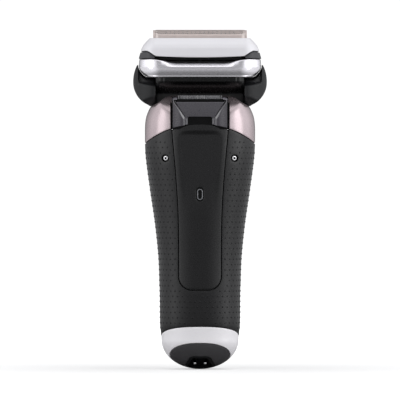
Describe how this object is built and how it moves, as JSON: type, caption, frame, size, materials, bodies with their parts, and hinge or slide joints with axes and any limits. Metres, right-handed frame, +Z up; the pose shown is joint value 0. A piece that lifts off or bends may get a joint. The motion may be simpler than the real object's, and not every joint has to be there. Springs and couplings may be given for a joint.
{
  "type": "electric shaver",
  "caption": "Upright foil shaver with a tilting twin-foil head, rubber grip, pop-up trimmer, round-ended base with a contact inlet.",
  "frame": {"origin": "under the middle of the handle's rounded lower end, at its lowest level", "axes": "+Z up the handle, +X to the right seen from the trimmer side, -Y out of the trimmer side, +Y out of the power button side"},
  "size_m": [0.0632, 0.0365, 0.16],
  "materials": {
    "grip_rubber": "soft, fine raised dots",
    "champagne": "satin metallic lacquer",
    "black_plastic": "matt",
    "plate_matte": "soft-touch matt",
    "marker_grey": "matt",
    "gloss_black": "high gloss",
    "display_glass": "smoked, high gloss",
    "screw_steel": "bright",
    "satin_silver": "satin silver plating",
    "cap_black": "semi-gloss",
    "pin_chrome": "polished",
    "grey_plastic": "matt",
    "battery_sleeve": "shrink sleeve",
    "nickel": "nickel strip",
    "board_green": "solder mask",
    "chrome_trim": "polished",
    "yoke_grey": "fine matt texture",
    "seal_rubber": "semi-gloss",
    "bush_brass": "turned",
    "coil_copper": "lacquered winding",
    "armature_steel": "sintered",
    "button_grey": "matt",
    "frame_silver": "satin silver plating",
    "foil_metal": "perforated foil",
    "blade_steel": "ground",
    "bay_gloss": "gloss",
    "cover_grey": "semi-gloss"
  },
  "bodies": {
    "handle": {"rubber_grip": "grip_rubber", "shoulder_cap": "champagne", "inner_housing": "black_plastic", "back_plate": "plate_matte", "thumb_marker": "marker_grey", "front_plate": "gloss_black", "display_window": "display_glass", "handle_screws": "screw_steel", "bottom_ring": "satin_silver", "bottom_cap": "cap_black", "inlet_socket": "black_plastic", "inlet_pins": "pin_chrome", "chassis": "grey_plastic", "battery": "battery_sleeve", "battery_tabs": "nickel", "circuit_board": "board_green", "power_switch": "black_plastic", "power_bezel": "chrome_trim", "head_yoke": "yoke_grey", "neck_seal": "seal_rubber", "pivot_pins": "screw_steel", "trimmer_bay": "bay_gloss"},
    "power_button": {"power_button": "satin_silver"},
    "lock_slider": {"head_lock_slider": "grey_plastic"},
    "head": {"pivot_bushes": "bush_brass", "head_shell": "gloss_black", "head_ring": "satin_silver", "head_deck": "black_plastic", "drive_coil": "coil_copper", "drive_guides": "screw_steel"},
    "drive": {"drive_armature": "armature_steel"},
    "release_left": {"release_button_left": "button_grey"},
    "release_right": {"release_button_right": "button_grey"},
    "cassette": {"cassette_base": "black_plastic", "cassette_frame": "frame_silver", "foil_rear_springs": "screw_steel", "foil_front_springs": "screw_steel", "middle_springs": "screw_steel"},
    "rear_foil": {"foil_rear": "foil_metal", "foil_rear_frame": "black_plastic"},
    "front_foil": {"foil_front": "foil_metal", "foil_front_frame": "black_plastic"},
    "rear_cutter": {"cutter_rear": "blade_steel"},
    "front_cutter": {"cutter_front": "blade_steel"},
    "middle_guard": {"middle_comb": "blade_steel"},
    "middle_cutter": {"middle_blade": "blade_steel"},
    "trimmer": {"trimmer_carriage": "black_plastic", "trimmer_cover": "cover_grey", "trimmer_comb": "blade_steel"},
    "trimmer_cutter": {"trimmer_blade": "blade_steel"}
  },
  "joints": [
    {"name": "head_pitch", "type": "hinge", "parent": "handle", "child": "head", "pos_m": [0, 0.001, 0.1355], "axis": [1, 0, 0], "range_deg": [-20, 20], "stiffness_Nm_per_rad": 0.15},
    {"name": "drive_swing", "type": "slide", "parent": "head", "child": "drive", "axis": [1, 0, 0], "range_m": [-0.0013, 0.0013], "stiffness_N_per_m": 400},
    {"name": "left_release", "type": "slide", "parent": "head", "child": "release_left", "axis": [1, 0, 0], "range_m": [0, 0.001], "stiffness_N_per_m": 800, "springref_m": -0.0005},
    {"name": "right_release", "type": "slide", "parent": "head", "child": "release_right", "axis": [-1, 0, 0], "range_m": [0, 0.001], "stiffness_N_per_m": 800, "springref_m": -0.0005},
    {"name": "cassette_lift", "type": "slide", "parent": "head", "child": "cassette", "axis": [0, 0, 1], "range_m": [0, 0.01]},
    {"name": "rear_foil_float", "type": "slide", "parent": "cassette", "child": "rear_foil", "axis": [0, 0, -1], "range_m": [0, 0.002], "stiffness_N_per_m": 300, "springref_m": -0.002, "deforming": ["foil_rear_springs"]},
    {"name": "front_foil_float", "type": "slide", "parent": "cassette", "child": "front_foil", "axis": [0, 0, -1], "range_m": [0, 0.002], "stiffness_N_per_m": 300, "springref_m": -0.002, "deforming": ["foil_front_springs"]},
    {"name": "middle_float", "type": "slide", "parent": "cassette", "child": "middle_guard", "axis": [0, 0, -1], "range_m": [0, 0.002], "stiffness_N_per_m": 300, "springref_m": -0.002, "deforming": ["middle_springs"]},
    {"name": "rear_cutter_swing", "type": "slide", "parent": "rear_foil", "child": "rear_cutter", "axis": [1, 0, 0], "range_m": [-0.0013, 0.0013]},
    {"name": "front_cutter_swing", "type": "slide", "parent": "front_foil", "child": "front_cutter", "axis": [1, 0, 0], "range_m": [-0.0013, 0.0013]},
    {"name": "middle_cutter_swing", "type": "slide", "parent": "middle_guard", "child": "middle_cutter", "axis": [1, 0, 0], "range_m": [-0.0013, 0.0013]},
    {"name": "trimmer_slide", "type": "slide", "parent": "handle", "child": "trimmer", "axis": [0, -0.2079, 0.9781], "range_m": [0, 0.011]},
    {"name": "trimmer_swing", "type": "slide", "parent": "trimmer", "child": "trimmer_cutter", "axis": [1, 0, 0], "range_m": [-0.001, 0.001]},
    {"name": "power_press", "type": "slide", "parent": "handle", "child": "power_button", "axis": [0, -1, 0], "range_m": [0, 0.0005], "stiffness_N_per_m": 1500, "springref_m": -0.0005},
    {"name": "lock_slide", "type": "slide", "parent": "handle", "child": "lock_slider", "axis": [0, 0, 1], "range_m": [0, 0.0035]}
  ],
  "couplings": [
    {"joint": "rear_cutter_swing", "follows": "drive_swing", "ratio": 1},
    {"joint": "front_cutter_swing", "follows": "drive_swing", "ratio": 1},
    {"joint": "middle_cutter_swing", "follows": "drive_swing", "ratio": 1}
  ]
}
